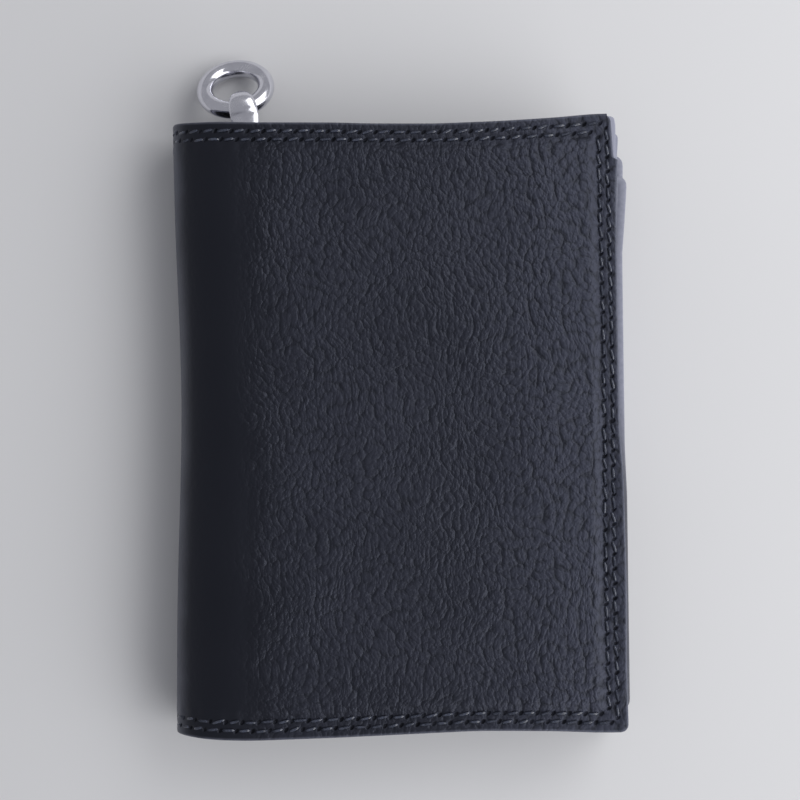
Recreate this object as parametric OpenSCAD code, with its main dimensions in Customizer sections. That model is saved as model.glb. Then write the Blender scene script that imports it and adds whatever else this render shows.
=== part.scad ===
// Closed bifold wallet in dark grained leather, lying on its back cover.
// Two stiffened covers are joined by a rounded spine, which folds in three sections.
// Inside are card pockets on both covers, a free swing leaf, and a ring on a bail.
// X runs from the spine to the opening edge, Y up the height, Z out of the front cover.
// The origin is the centre of the back cover's outer face. Lengths are in millimetres.

/* [Covers] */
// Height of both covers
cover_h = 143; // [132:1:155]
// Width of the closed wallet, from the spine's outside to the back cover's opening edge
wallet_w = 105; // [101:1:116]
// How far the front cover stops short of the back cover's opening edge
front_short = 2.2; // [0:0.1:4]
// Thickness of the cover leather over its stiffener
cover_t = 1.8; // [1.6:0.1:2.4]
// Depth by which the stitched margin lies below the padded face
margin_drop = 0.6; // [0.3:0.1:0.8]
// Width of the flat stitched margin
margin_w = 5.9; // [5:0.1:7]
// Width of the slope from the margin up to the padded face
slope_w = 2; // [1:0.5:4]
// Corner radius of the covers at the opening edge
corner_r = 1.9; // [1:0.1:4]

/* [Spine] */
// How far each slanted spine section reaches, both sideways and in height
spine_reach = 7; // [5:0.5:8]
// Angle between the fold line and the back cover's edges
fold_skew = 0.4; // [0:0.1:0.8]
// Play between neighbouring sections of the spine
fold_play = 0.1; // [0.06:0.02:0.2]

/* [Lining and stiffener] */
// Thickness of the lining
lining_t = 0.8; // [0.5:0.1:1]
// Thickness of the stiffener board in each cover
stiffener_t = 0.6; // [0.4:0.1:0.8]
// Distance of the stiffener from the edges of its cover
stiffener_inset = 9.5; // [8:0.5:14]
// How far the lining stays back from the cover's edge
lining_inset = 0.3; // [0:0.1:0.8]

/* [Panels and card pockets] */
// Thickness of the inner panel that closes the note compartment
panel_t = 1; // [0.8:0.1:1.2]
// How far the inner panel's top edge stays below the cover's top edge
panel_drop = 4; // [3.6:0.1:6]
// Distance from the fold line to the inner panel
panel_start = 4.5; // [4:0.1:6]
// Thickness of one card pocket
pocket_t = 1; // [0.7:0.1:1]
// Distance from the cover's top edge to the highest pocket's edge
pocket_drop = 24.5; // [23:0.5:30]
// Step from one pocket's edge to the next
pocket_step = 13; // [9:1:16]
// Distance from the fold line to the pockets
pocket_start = 4.7; // [4.6:0.1:9]

/* [Swing leaf] */
// Thickness of each face of the swing leaf
leaf_face_t = 1; // [0.8:0.1:1.2]
// Thickness of the pocket on each face of the leaf
leaf_pocket_t = 0.8; // [0.6:0.1:1]
// Free space between the leaf and the pockets on either side
leaf_gap = 1.1; // [0.8:0.1:1.6]
// How far the leaf's top edge stays below the covers' top edge
leaf_top_drop = 6.7; // [5:0.1:12]
// How far the leaf's bottom edge stays above the covers' bottom edge
leaf_foot_rise = 5.2; // [3:0.1:9]
// How far the leaf stands past the back cover's opening edge
leaf_proud = 0.3; // [0:0.1:1]
// Distance from the fold line to the leaf's own fold
leaf_start = 3; // [2.6:0.1:3.2]
// How far the leaf pocket's top edge stays below the leaf's top edge
leaf_pocket_drop = 5; // [4:0.5:12]
// Distance from the leaf's own fold to its pockets
leaf_pocket_start = 18; // [16:0.5:24]
// Corner radius of the leaf and of its pockets
leaf_r = 2.6; // [1:0.2:5]
// Thickness of the strip that carries the leaf
hinge_strip_t = 1.2; // [1:0.1:1.4]
// Clearance between the strip and the leaf's rolled edge
hinge_clear = 0.2; // [0.1:0.05:0.3]

/* [Stitching] */
// Distance from the cover's edge to the outer row of thread
row_inset = 2.3; // [1.8:0.1:2.6]
// Distance between the two rows of thread
row_gap = 2; // [1.6:0.1:2.2]
// Width of a row of thread
thread_w = 0.7; // [0.4:0.1:0.9]
// Height of the thread above the margin
thread_h = 0.3; // [0.2:0.1:0.3]

/* [Ring tab] */
// Width of the tab
tab_w = 11.3; // [11:0.1:12]
// Thickness of the tab
tab_t = 3; // [2.4:0.1:3.2]
// Distance from the fold line to the tab's centre line
tab_start = 10.8; // [10.4:0.1:12]
// Distance from the covers' top edge to the eyelet's centre
eyelet_drop = 7.7; // [7:0.1:9]
// Radius of the eyelet's hole
eyelet_r = 3.3; // [3.1:0.1:3.5]
// Wall of the eyelet's barrel
eyelet_wall = 0.4; // [0.3:0.1:0.5]
// Radius of the eyelet's flange and of its washer
flange_r = 5.2; // [5:0.1:5.4]
// Thickness of the flange and of the washer
flange_t = 0.4; // [0.3:0.1:0.5]
// Leather left between the eyelet's barrel and the end of the tab
tab_lip = 1.6; // [1.5:0.1:1.7]
// Length of the tab behind the eyelet's centre
tab_tail = 15.2; // [14:0.1:15.4]
// Clearance between the tab's base and the eyelet's washer
tab_base_clear = 0.3; // [0.2:0.1:1]

/* [Bail and ring] */
// Width of the bail where it leaves the wallet
bail_w = 6.7; // [6.3:0.1:6.8]
// Width of the bail where it passes through the eyelet
bail_inner_w = 4.2; // [3.6:0.1:4.4]
// Thickness of the bail's band
bail_t = 1.8; // [1.6:0.1:1.9]
// Inside radius of the bail's round ends
bail_inside_r = 3.5; // [3.4:0.05:3.6]
// Distance between the centres of the bail's two round ends
bail_reach = 7.5; // [7.2:0.1:9]
// Outside diameter of the ring
ring_d = 18.6; // [18.4:0.1:21]
// Diameter of the ring's wire
wire_d = 4; // [3.6:0.1:4.1]
// Angle by which the bail and the ring are turned towards the spine
hardware_turn = 12; // [0:1:14]
// Height of the ring's lowest point above the surface
ring_lift = 0.05; // [0:0.05:0.2]

/* [Hidden] */
$fn = 96;

leather = [0.13, 0.14, 0.17];
inner_leather = [0.16, 0.17, 0.2];
lining_cloth = [0.1, 0.1, 0.12];
board = [0.45, 0.4, 0.33];
thread = [0.05, 0.05, 0.06];
steel = [0.8, 0.8, 0.84];

// Four pockets lie on each other on either side
pocket_count = 4;
pocket_stack_t = pocket_count * pocket_t;
stack_t = cover_t + lining_t + panel_t + pocket_stack_t;
wallet_t = 2 * (stack_t + leaf_face_t + leaf_pocket_t + leaf_gap);
mid_z = wallet_t / 2;
half_h = cover_h / 2;
back_edge = wallet_w / 2;
front_edge = back_edge - front_short;

// The spine turns by the same angle at each of its four folds
spine_section_count = 3;
half_turn = 180;
fold_turn = half_turn / (spine_section_count + 1);
mitre = tan(fold_turn / 2);
fold_x = spine_reach - wallet_w / 2;
upright_h = wallet_t - 2 * spine_reach;
slant_len = spine_reach / sin(fold_turn);
section_lengths = [slant_len, upright_h, slant_len];
section_starts = [
  [0, 0],
  [-spine_reach, spine_reach],
  [-spine_reach, wallet_t - spine_reach]
];

// Cutting tools reach past what they cut by this much
overrun = 1;

// Depths of the layers, from the outer face of a cover inwards
lining_z = cover_t;
panel_z = lining_z + lining_t;
pocket_z = panel_z + panel_t;

// The leaf turns about the middle of its rolled edge
leaf_fold_x = fold_x + leaf_start;
leaf_edge = back_edge + leaf_proud;
leaf_top = half_h - leaf_top_drop;
leaf_foot = leaf_foot_rise - half_h;

// The tab stands at half the wallet's thickness on its base
tab_x = fold_x + tab_start;
eyelet_y = half_h - eyelet_drop;
barrel_r = eyelet_r + eyelet_wall;
tab_end_y = eyelet_y + barrel_r + tab_lip;
tab_tail_y = eyelet_y - tab_tail;
base_end_y = eyelet_y - flange_r - tab_base_clear;
tab_z = mid_z - tab_t / 2;

// The notch leaves room for the tab in the leaf
notch_edge = tab_x + tab_w / 2 + tab_lip;
notch_foot = tab_tail_y - tab_lip;

// The bail turns about the centre of its inner round end
bail_mean_r = bail_inside_r + bail_t / 2;
bail_outside_r = bail_inside_r + bail_t;
wire_r = wire_d / 2;
ring_mean_r = ring_d / 2 - wire_r;
ring_pin_y = bail_mean_r + bail_reach;
ring_tilt = asin((mid_z - wire_r - ring_lift) / (2 * ring_mean_r));

// A rectangle with round corners, between two corner points
module round_rect(low, high, r) {
  translate([low[0] + r, low[1]]) square([high[0] - low[0] - 2 * r, high[1] - low[1]]);
  translate([low[0], low[1] + r]) square([high[0] - low[0], high[1] - low[1] - 2 * r]);
  for (x = [low[0] + r, high[0] - r])
    for (y = [low[1] + r, high[1] - r])
      translate([x, y]) circle(r);
}

// A flat sheet from depth z inwards, t thick
module sheet(low, high, r, z, t) {
  translate([0, 0, z]) linear_extrude(t) round_rect(low, high, r);
}

// A profile drawn in X and Z, carried along Y on both sides of the middle
module along_y(length) {
  rotate([90, 0, 0]) linear_extrude(length, center = true) children();
}

// A profile drawn in Y and Z, carried along X from zero
module along_x(length) {
  rotate([90, 0, 90]) linear_extrude(length) children();
}

// Places what is drawn about the fold line, which is turned by the given angle
module at_fold(turn) {
  translate([fold_x, 0, 0]) rotate([0, 0, turn]) children();
}

// Turns a layer that is drawn on the back cover into the same layer on the front cover
module on_front() {
  translate([fold_x, 0, wallet_t]) rotate([0, 0, 2 * fold_skew]) mirror([0, 0, 1])
    translate([-fold_x, 0, 0]) children();
}

// The space on the cover's side of the fold, mitred at half the fold's turn
module cover_side(turn) {
  depth = cover_t + lining_t + overrun;
  at_fold(turn) along_y(cover_h + 2 * overrun)
    polygon([
      [fold_play / 2 - mitre * overrun, -overrun],
      [wallet_w, -overrun],
      [wallet_w, depth],
      [fold_play / 2 + mitre * depth, depth]
    ]);
}

// Low and high corners of a cover layer that ends at the given edge
function cover_low(inset) = [fold_x - overrun - corner_r, inset - half_h];
function cover_high(edge, inset) = [edge - inset, half_h - inset];

// A cover: a flat margin, a padded face with sloping sides, and a bed for the stiffener
module cover_leather(edge, turn) {
  face_edge = edge - margin_w;
  face_top = half_h - margin_w;
  difference() {
    intersection() {
      union() {
        sheet(cover_low(0), cover_high(edge, 0), corner_r, margin_drop, cover_t - margin_drop);
        intersection() {
          along_y(cover_h)
            polygon([
              [fold_x - overrun, 0],
              [face_edge - slope_w, 0],
              [face_edge, margin_drop],
              [face_edge, cover_t],
              [fold_x - overrun, cover_t]
            ]);
          translate([-wallet_w, 0, 0]) along_x(2 * wallet_w)
            polygon([
              [slope_w - face_top, 0],
              [face_top - slope_w, 0],
              [face_top, margin_drop],
              [face_top, cover_t],
              [-face_top, cover_t],
              [-face_top, margin_drop]
            ]);
        }
      }
      cover_side(turn);
    }
    stiffener_board(edge, overrun);
  }
}

// The stiffener lies in the cover's inner face
module stiffener_board(edge, extra) {
  sheet(
    [fold_x + stiffener_inset, stiffener_inset - half_h],
    [edge - stiffener_inset, half_h - stiffener_inset],
    corner_r, cover_t - stiffener_t, stiffener_t + extra
  );
}

// The lining covers the whole inner face of its cover
module cover_lining(edge, turn) {
  intersection() {
    sheet(cover_low(lining_inset), cover_high(edge, lining_inset), corner_r, lining_z, lining_t);
    cover_side(turn);
  }
}

// The inner panel closes the note compartment, which stays open at the top
module inner_panel(edge) {
  sheet(
    [fold_x + panel_start, lining_inset - half_h],
    [edge - lining_inset, half_h - panel_drop],
    corner_r, panel_z, panel_t
  );
}

// Card pocket n lies on pocket n - 1 and ends one step lower
module card_pocket(edge, n) {
  sheet(
    [fold_x + pocket_start, lining_inset - half_h],
    [edge - lining_inset, half_h - pocket_drop - (n - 1) * pocket_step],
    corner_r, pocket_z + (n - 1) * pocket_t, pocket_t
  );
}

// One row of thread, as a frame round the cover
module thread_frame(edge, inset) {
  near = inset - thread_w / 2;
  far = inset + thread_w / 2;
  difference() {
    round_rect(cover_low(near), cover_high(edge, near), corner_r);
    translate([-overrun, 0]) round_rect(cover_low(far), cover_high(edge, far), corner_r);
  }
}

// Two rows of thread on the margin of a cover
module cover_thread(edge, turn) {
  intersection() {
    translate([0, 0, margin_drop - thread_h]) linear_extrude(thread_h)
      for (inset = [row_inset, row_inset + row_gap]) thread_frame(edge, inset);
    cover_side(turn);
  }
}

// Spine section n between two depths, mitred at both ends, as a profile in X and Z
module section_profile(n, depth_from, depth_to) {
  length = section_lengths[n - 1];
  half_play = fold_play / 2;
  translate(section_starts[n - 1]) rotate(half_turn - n * fold_turn)
    polygon([
      [mitre * depth_from + half_play, -depth_from],
      [length - mitre * depth_from - half_play, -depth_from],
      [length - mitre * depth_to - half_play, -depth_to],
      [mitre * depth_to + half_play, -depth_to]
    ]);
}

// Spine leather is full thickness between the margins at its two ends
module spine_leather(n) {
  at_fold(fold_skew) {
    along_y(cover_h) section_profile(n, margin_drop, cover_t);
    along_y(cover_h - 2 * margin_w - slope_w) section_profile(n, 0, cover_t);
  }
}

module spine_lining(n) {
  at_fold(fold_skew) along_y(cover_h - 2 * lining_inset) section_profile(n, lining_z, panel_z);
}

// Both rows of thread cross the spine at the top and at the foot
module spine_thread(n) {
  at_fold(fold_skew)
    for (side = [-1, 1])
      for (inset = [row_inset, row_inset + row_gap])
        translate([0, side * (half_h - inset), 0])
          along_y(thread_w) section_profile(n, margin_drop - thread_h, margin_drop);
}

// The outline of the leaf, with a notch for the ring tab beside its fold
module leaf_outline() {
  difference() {
    round_rect([leaf_fold_x - leaf_r, leaf_foot], [leaf_edge, leaf_top], leaf_r);
    translate([leaf_fold_x - wallet_w, leaf_foot - overrun])
      square([wallet_w, cover_h]);
    translate([notch_edge - wallet_w, notch_foot]) square([wallet_w, cover_h]);
  }
}

// One face of the leaf, on the side of the middle that dir gives, with its rolled edge
module leaf_face(dir) {
  root_h = notch_foot - leaf_foot;
  translate([0, 0, mid_z]) mirror([0, 0, dir < 0 ? 1 : 0]) {
    linear_extrude(leaf_face_t) leaf_outline();
    intersection() {
      translate([leaf_fold_x, leaf_foot + root_h / 2, 0]) along_y(root_h) circle(leaf_face_t);
      translate([leaf_fold_x - leaf_face_t - overrun, leaf_foot, 0])
        cube([leaf_face_t + overrun, root_h, leaf_face_t + overrun]);
    }
  }
}

// The pocket on one face of the leaf
module leaf_pocket(dir) {
  translate([0, 0, mid_z]) mirror([0, 0, dir < 0 ? 1 : 0])
    sheet(
      [leaf_fold_x + leaf_pocket_start, leaf_foot],
      [leaf_edge, leaf_top - leaf_pocket_drop],
      leaf_r, leaf_face_t, leaf_pocket_t
    );
}

// The strip stands on the lining and carries the leaf along its fold
module leaf_hinge_strip() {
  root_h = notch_foot - leaf_foot;
  strip_h = mid_z - leaf_face_t - hinge_clear - panel_z;
  color(inner_leather)
    translate([leaf_fold_x - hinge_strip_t / 2, leaf_foot, panel_z])
      cube([hinge_strip_t, root_h, strip_h]);
}

// The base lifts the tab from the inner panel
module tab_base() {
  color(inner_leather)
    sheet(
      [tab_x - tab_w / 2, tab_tail_y], [tab_x + tab_w / 2, base_end_y],
      corner_r, pocket_z, tab_z - pocket_z
    );
}

// The tab holds the eyelet between the covers at the top of the spine
module ring_tab() {
  color(inner_leather)
    difference() {
      sheet([tab_x - tab_w / 2, tab_tail_y], [tab_x + tab_w / 2, tab_end_y], corner_r, tab_z, tab_t);
      translate([tab_x, eyelet_y, tab_z - overrun]) cylinder(r = barrel_r, h = tab_t + 2 * overrun);
    }
}

// The eyelet's barrel goes through the tab and ends in a flange
module tab_eyelet() {
  color(steel)
    translate([tab_x, eyelet_y, tab_z - flange_t])
      difference() {
        union() {
          cylinder(r = barrel_r, h = tab_t + 2 * flange_t);
          translate([0, 0, tab_t + flange_t]) cylinder(r = flange_r, h = flange_t);
        }
        translate([0, 0, -overrun]) cylinder(r = eyelet_r, h = tab_t + 2 * (flange_t + overrun));
      }
}

// The washer holds the barrel's other end
module tab_washer() {
  color(steel)
    translate([tab_x, eyelet_y, tab_z - flange_t])
      difference() {
        cylinder(r = flange_r, h = flange_t);
        translate([0, 0, -overrun]) cylinder(r = barrel_r, h = flange_t + 2 * overrun);
      }
}

// Places what is drawn about the eyelet's centre, with Y towards the ring
module at_eyelet() {
  translate([tab_x, eyelet_y, mid_z]) rotate([0, 0, hardware_turn]) children();
}

// A slot with round ends, drawn from the inner round end along the reach
module slot_shape(r) {
  circle(r);
  translate([bail_reach, 0]) circle(r);
  translate([0, -r]) square([bail_reach, 2 * r]);
}

// The bail seen from above: it widens from the eyelet and ends round beyond the ring's wire
module bail_plan() {
  outer_end = ring_pin_y + bail_outside_r;
  widest = eyelet_drop + wire_r / 2;
  translate([0, outer_end - bail_w / 2]) circle(bail_w / 2);
  polygon([
    [-bail_inner_w / 2, -bail_t],
    [bail_inner_w / 2, -bail_t],
    [bail_inner_w / 2, bail_t],
    [bail_w / 2, widest],
    [bail_w / 2, outer_end - bail_w / 2],
    [-bail_w / 2, outer_end - bail_w / 2],
    [-bail_w / 2, widest],
    [-bail_inner_w / 2, bail_t]
  ]);
}

// The bail is an oval link of flat band
module bail() {
  color(steel)
    at_eyelet()
      intersection() {
        translate([-bail_w / 2, bail_mean_r, 0]) along_x(bail_w)
          difference() {
            slot_shape(bail_outside_r);
            slot_shape(bail_inside_r);
          }
        translate([0, 0, -wallet_t]) linear_extrude(2 * wallet_t) bail_plan();
      }
}

// The ring hangs in the bail and leans down to the surface
module ring() {
  color(steel)
    at_eyelet()
      translate([0, ring_pin_y, 0]) rotate([-ring_tilt, 0, 0]) translate([0, ring_mean_r, 0])
        rotate_extrude() translate([ring_mean_r, 0]) circle(wire_r);
}

module back_cover() { color(leather) cover_leather(back_edge, fold_skew); }
module back_stiffener() { color(board) stiffener_board(back_edge, 0); }
module back_lining() { color(lining_cloth) cover_lining(back_edge, fold_skew); }
module back_panel() { color(inner_leather) inner_panel(back_edge); }
module back_pocket(n) { color(inner_leather) card_pocket(back_edge, n); }
module back_thread() { color(thread) cover_thread(back_edge, fold_skew); }

module front_cover() { color(leather) on_front() cover_leather(front_edge, -fold_skew); }
module front_stiffener() { color(board) on_front() stiffener_board(front_edge, 0); }
module front_lining() { color(lining_cloth) on_front() cover_lining(front_edge, -fold_skew); }
module front_panel() { color(inner_leather) on_front() inner_panel(front_edge); }
module front_pocket(n) { color(inner_leather) on_front() card_pocket(front_edge, n); }
module front_thread() { color(thread) on_front() cover_thread(front_edge, -fold_skew); }

back_cover();
back_stiffener();
back_lining();
back_panel();
back_pocket(1);  // back_pocket_1
back_pocket(2);  // back_pocket_2
back_pocket(3);  // back_pocket_3
back_pocket(4);  // back_pocket_4
back_thread();
leaf_hinge_strip();
tab_base();
ring_tab();
tab_eyelet();
tab_washer();
color(leather) spine_leather(1);  // spine_leather_1
color(leather) spine_leather(2);  // spine_leather_2
color(leather) spine_leather(3);  // spine_leather_3
color(lining_cloth) spine_lining(1);  // spine_lining_1
color(lining_cloth) spine_lining(2);  // spine_lining_2
color(lining_cloth) spine_lining(3);  // spine_lining_3
color(thread) spine_thread(1);  // spine_thread_1
color(thread) spine_thread(2);  // spine_thread_2
color(thread) spine_thread(3);  // spine_thread_3
front_cover();
front_stiffener();
front_lining();
front_panel();
front_pocket(1);  // front_pocket_1
front_pocket(2);  // front_pocket_2
front_pocket(3);  // front_pocket_3
front_pocket(4);  // front_pocket_4
front_thread();
color(inner_leather) leaf_face(-1);  // leaf_back_face
color(inner_leather) leaf_face(1);  // leaf_front_face
color(inner_leather) leaf_pocket(-1);  // leaf_back_pocket
color(inner_leather) leaf_pocket(1);  // leaf_front_pocket
bail();
ring();
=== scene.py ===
# %% [markdown]
# # A bifold wallet in pebbled leather
# A closed wallet lies on its back cover, its spine to the left. Two padded covers are one hide that is
# wrapped round a spine. Inside are linings, card pockets and a swing leaf. A ring hangs in a bail at the
# top of the spine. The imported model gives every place, and here each piece gets its true surface.

# %% Load the frame and keep its box
import bpy
import math
import numpy as np
from mathutils import Matrix, Vector


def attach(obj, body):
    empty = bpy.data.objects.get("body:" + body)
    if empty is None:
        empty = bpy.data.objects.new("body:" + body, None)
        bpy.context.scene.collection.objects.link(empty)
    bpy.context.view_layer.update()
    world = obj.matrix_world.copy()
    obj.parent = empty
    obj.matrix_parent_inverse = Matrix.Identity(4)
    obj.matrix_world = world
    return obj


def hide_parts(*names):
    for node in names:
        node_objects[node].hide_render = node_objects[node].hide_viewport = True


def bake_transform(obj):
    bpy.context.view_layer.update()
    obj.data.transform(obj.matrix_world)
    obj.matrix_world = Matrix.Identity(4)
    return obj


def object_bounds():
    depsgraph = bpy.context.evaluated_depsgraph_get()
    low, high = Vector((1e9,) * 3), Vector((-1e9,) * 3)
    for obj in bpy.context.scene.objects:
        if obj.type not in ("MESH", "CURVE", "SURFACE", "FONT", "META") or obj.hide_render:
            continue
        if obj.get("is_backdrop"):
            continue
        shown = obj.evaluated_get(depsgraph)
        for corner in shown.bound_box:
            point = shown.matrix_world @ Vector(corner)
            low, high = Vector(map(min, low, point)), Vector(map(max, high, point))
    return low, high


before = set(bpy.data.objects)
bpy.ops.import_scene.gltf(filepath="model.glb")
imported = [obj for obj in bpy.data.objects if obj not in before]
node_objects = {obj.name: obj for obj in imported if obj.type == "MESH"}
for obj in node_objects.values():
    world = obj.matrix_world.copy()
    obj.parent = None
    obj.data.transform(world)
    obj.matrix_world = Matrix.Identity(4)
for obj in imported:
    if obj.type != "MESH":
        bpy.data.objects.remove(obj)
cad_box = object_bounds()

# %% [markdown]
# ## Camera
# The wallet was seen almost straight from above, from about a third of a metre. Place, turn and focal
# length were worked out from its corners and the ring, so the camera is written down as numbers, in
# millimetres and radians, and isn't aimed by hand.

# %% Camera
MM = 0.001
CAMERA_SPOT = (-24.76, -8.91, 364.33)
CAMERA_TURNS = {"X": 0.04414, "Y": -0.07007, "Z": -0.00378}
LENS = 67.905

camera_data = bpy.data.cameras.new("studio_camera")
camera_data.sensor_fit = "HORIZONTAL"
camera_data.sensor_width = 36.0
camera_data.lens = LENS
camera_data.clip_start = 0.01
camera = bpy.data.objects.new("studio_camera", camera_data)
bpy.context.scene.collection.objects.link(camera)
stand = Matrix.Translation([MM * v for v in CAMERA_SPOT])
for axis, angle in CAMERA_TURNS.items():
    stand = stand @ Matrix.Rotation(angle, 4, axis)
camera.matrix_world = stand
bpy.context.scene.camera = camera
print("camera", [round(v, 4) for v in camera.matrix_world.translation])

# %% [markdown]
# ## Shader bench
# A finish is a net of nodes, and most of it is arithmetic on masks. The class Amount wraps a socket and
# lets the arithmetic be written as an expression. Finish makes the material and adds all other nodes
# through one method.


# %% Amount and Finish
def maths(operation, reflected=False):
    """A method that adds one Math node. It is fed the Amount first, or last where reflected."""

    def method(self, *others):
        values = (*others, self) if reflected else (self, *others)
        node = self.finish.add("ShaderNodeMath", {"operation": operation}, dict(enumerate(values)))
        return Amount(self.finish, node.outputs[0])

    return method


class Amount:
    """A number that varies over a surface. Sums, products and the like add Math nodes."""

    def __init__(self, finish, socket):
        self.finish = finish
        self.socket = socket

    __add__ = __radd__ = maths("ADD")
    __sub__, __rsub__ = maths("SUBTRACT"), maths("SUBTRACT", reflected=True)
    __mul__ = __rmul__ = maths("MULTIPLY")
    __pow__, __abs__ = maths("POWER"), maths("ABSOLUTE")
    highest, lowest = maths("MAXIMUM"), maths("MINIMUM")
    fraction, sine = maths("FRACT"), maths("SINE")

    def ease(self, low, high):
        """0 below low, 1 above high, and a smooth step between."""
        node = self.finish.add(
            "ShaderNodeMapRange",
            {"interpolation_type": "SMOOTHSTEP"},
            {"Value": self, "From Min": low, "From Max": high},
        )
        return Amount(self.finish, node.outputs["Result"])


class Finish:
    """A material: constants go on the shader's own sockets, and nets feed the few that may vary."""

    def __init__(self, name, **constants):
        self.material = bpy.data.materials.new(name)
        self.material.use_nodes = True
        self.tree = self.material.node_tree
        self.shader = self.tree.nodes["Principled BSDF"]
        for key, value in constants.items():
            self.shader.inputs[key.replace("_", " ")].default_value = value

    def feed(self, socket, value):
        if isinstance(value, Amount):
            value = value.socket
        if isinstance(value, bpy.types.NodeSocket):
            self.tree.links.new(value, socket)
        else:
            socket.default_value = value

    def add(self, kind, settings=None, sockets=None):
        """Adds a node of this kind: its settings are set first, then its sockets are filled or linked."""
        node = self.tree.nodes.new(kind)
        for key, value in (settings or {}).items():
            setattr(node, key, value)
        for key, value in (sockets or {}).items():
            self.feed(node.inputs[key], value)
        return node

    def place(self, uv_map=None, scale=(1000, 1000, 1000)):
        """A position in millimetres: from the object's own coordinates, or from a UV map."""
        if uv_map:
            source = self.add("ShaderNodeUVMap", {"uv_map": uv_map}).outputs[0]
        else:
            source = self.add("ShaderNodeTexCoord").outputs["Object"]
        return self.vector("MULTIPLY", source, scale)

    def vector(self, operation, *values):
        node = self.add("ShaderNodeVectorMath", {"operation": operation}, dict(enumerate(values)))
        return node.outputs[0]

    def parts(self, vector):
        node = self.add("ShaderNodeSeparateXYZ", sockets={0: vector})
        return [Amount(self, out) for out in node.outputs]

    def noise(self, place, scale, detail=3.0, roughness=0.5):
        """A cloud of values round 0.5, with scale clouds to the millimetre."""
        sockets = {"Vector": place, "Scale": scale, "Detail": detail, "Roughness": roughness}
        return Amount(self, self.add("ShaderNodeTexNoise", {"noise_dimensions": "3D"}, sockets).outputs[0])

    def shake(self, place, scale, reach):
        """The position moved by up to half of reach in every direction, by a noise of its own."""
        node = self.add("ShaderNodeTexNoise", {}, {"Vector": place, "Scale": scale, "Detail": 2.0})
        centred = self.vector("SUBTRACT", node.outputs["Color"], (0.5, 0.5, 0.5))
        return self.vector("ADD", place, self.vector("MULTIPLY", centred, (reach, reach, reach)))

    def cells(self, place, scale, feature="DISTANCE_TO_EDGE", dimensions="3D"):
        """Distance from the borders of scattered cells, or with F1 from their centres."""
        settings = {"voronoi_dimensions": dimensions, "feature": feature}
        node = self.add("ShaderNodeTexVoronoi", settings, {"Vector": place, "Scale": scale})
        return Amount(self, node.outputs["Distance"])

    def attribute(self, name):
        return Amount(self, self.add("ShaderNodeAttribute", {"attribute_name": name}).outputs["Fac"])

    def mix(self, factor, first, second):
        node = self.add("ShaderNodeMix", {"data_type": "RGBA"}, {0: factor, 6: first, 7: second})
        return node.outputs[2]

    def set(self, socket, value):
        self.feed(self.shader.inputs[socket], value)

    def bump(self, height, depth):
        """Relief from a height of 0 to 1, whose full depth is given in millimetres."""
        node = self.add("ShaderNodeBump", {}, {"Strength": 1.0, "Distance": depth * MM, "Height": height})
        self.set("Normal", node.outputs[0])


print("shader bench ready")

# %% [markdown]
# ## The hide's two maps
# The cover leather wraps from the front's opening edge round the spine to the back's. Two UV maps go with
# it. The map called hide holds the unrolled leather, 300 mm to one unit, so the grain runs unbroken round
# the spine and doesn't slide when the wallet opens. The map called seam holds the way along the nearest
# edge, counted in stitches, and the distance from that edge in millimetres, both divided by 100, so needle
# slots fall between the stitches.

# %% Cover leather
HIDE_SPAN = 300.0
SEAM_SPAN = 100.0
PITCH, SIDE_PITCH = 3.7, 3.4
# Each row's distance from the edge, and its shift along the edge in stitches
ROWS = ((2.3, 0.0), (4.3, 0.36))
FOLD_X = -45.5
WALLET_T = 21.0
HALF_H = 71.5
SKEW = math.radians(0.4)
FRONT_REACH, BACK_REACH = 95.8, 98.0
CURVE_START, SPINE_DEEP = 8.5, 15.5
SPINE_ANGLES = np.linspace(math.pi / 2, 3 * math.pi / 2, 721)
curve_u = CURVE_START + SPINE_DEEP * np.cos(SPINE_ANGLES)
curve_z = WALLET_T / 2 * (1 + np.sin(SPINE_ANGLES))
SPINE_WAY = np.concatenate([[0.0], np.cumsum(np.hypot(np.diff(curve_u), np.diff(curve_z)))])
FRONT_WAY = FRONT_REACH - CURVE_START
BACK_WAY = FRONT_WAY + SPINE_WAY[-1]
WHOLE_WAY = BACK_WAY + BACK_REACH - CURVE_START
SPINE_MIDDLE = FRONT_WAY + SPINE_WAY[-1] / 2

# The leather's tones, from the painted shade of a needle slot to the bare cut edge, among them painted shade
# for the creases and the smooth spine, a painted light and a painted highlight, and the slots' slant of 45 degrees
PAINTED_SLOT_SHADE = (0.0015, 0.0016, 0.0024, 1)
PAINTED_SPINE_SHADE = (0.0008, 0.0009, 0.0015, 1)
PAINTED_CREASE_SHADE = (0.0032, 0.0036, 0.0058, 1)
DARK_DYE = (0.003, 0.0034, 0.0056, 1)
LIGHT_DYE = (0.014, 0.015, 0.0232, 1)
PAINTED_LAMP_SIDE_LIGHT = (0.022, 0.024, 0.037, 1)
PAINTED_SPINE_RIM_HIGHLIGHT = (0.07, 0.076, 0.1, 1)
CUT_EDGE = (0.13, 0.137, 0.175, 1)
SLANT = math.sqrt(0.5)


def needle_slots(seam_way, edge_distance, up, unevenness):
    """The needle cuts a slot between two stitches, 45 degrees off the row and all one way: 1 near each slot's
    centre, by a distance that counts more across the slot than along it. The top's and the foot's maps are
    mirrored, so the slant changes its sign at half height."""
    lean = (up - HIDE_SPAN / 2).ease(-1.0, 1.0) * 2 - 1
    slots = None
    for row, shift in ROWS:
        step = ((seam_way + (shift + 0.5)).fraction() - 0.5) * PITCH
        across = edge_distance - row
        narrow = step * SLANT - across * lean * SLANT
        long = step * lean * SLANT + across * SLANT
        away = (narrow * narrow * 1.6 + long * long * 0.58) ** 0.5
        slot = (1 - away.ease(0.2, 0.66)) * (0.2 + unevenness * 1.2)
        slots = slot if slots is None else slots.highest(slot)
    return slots


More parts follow.
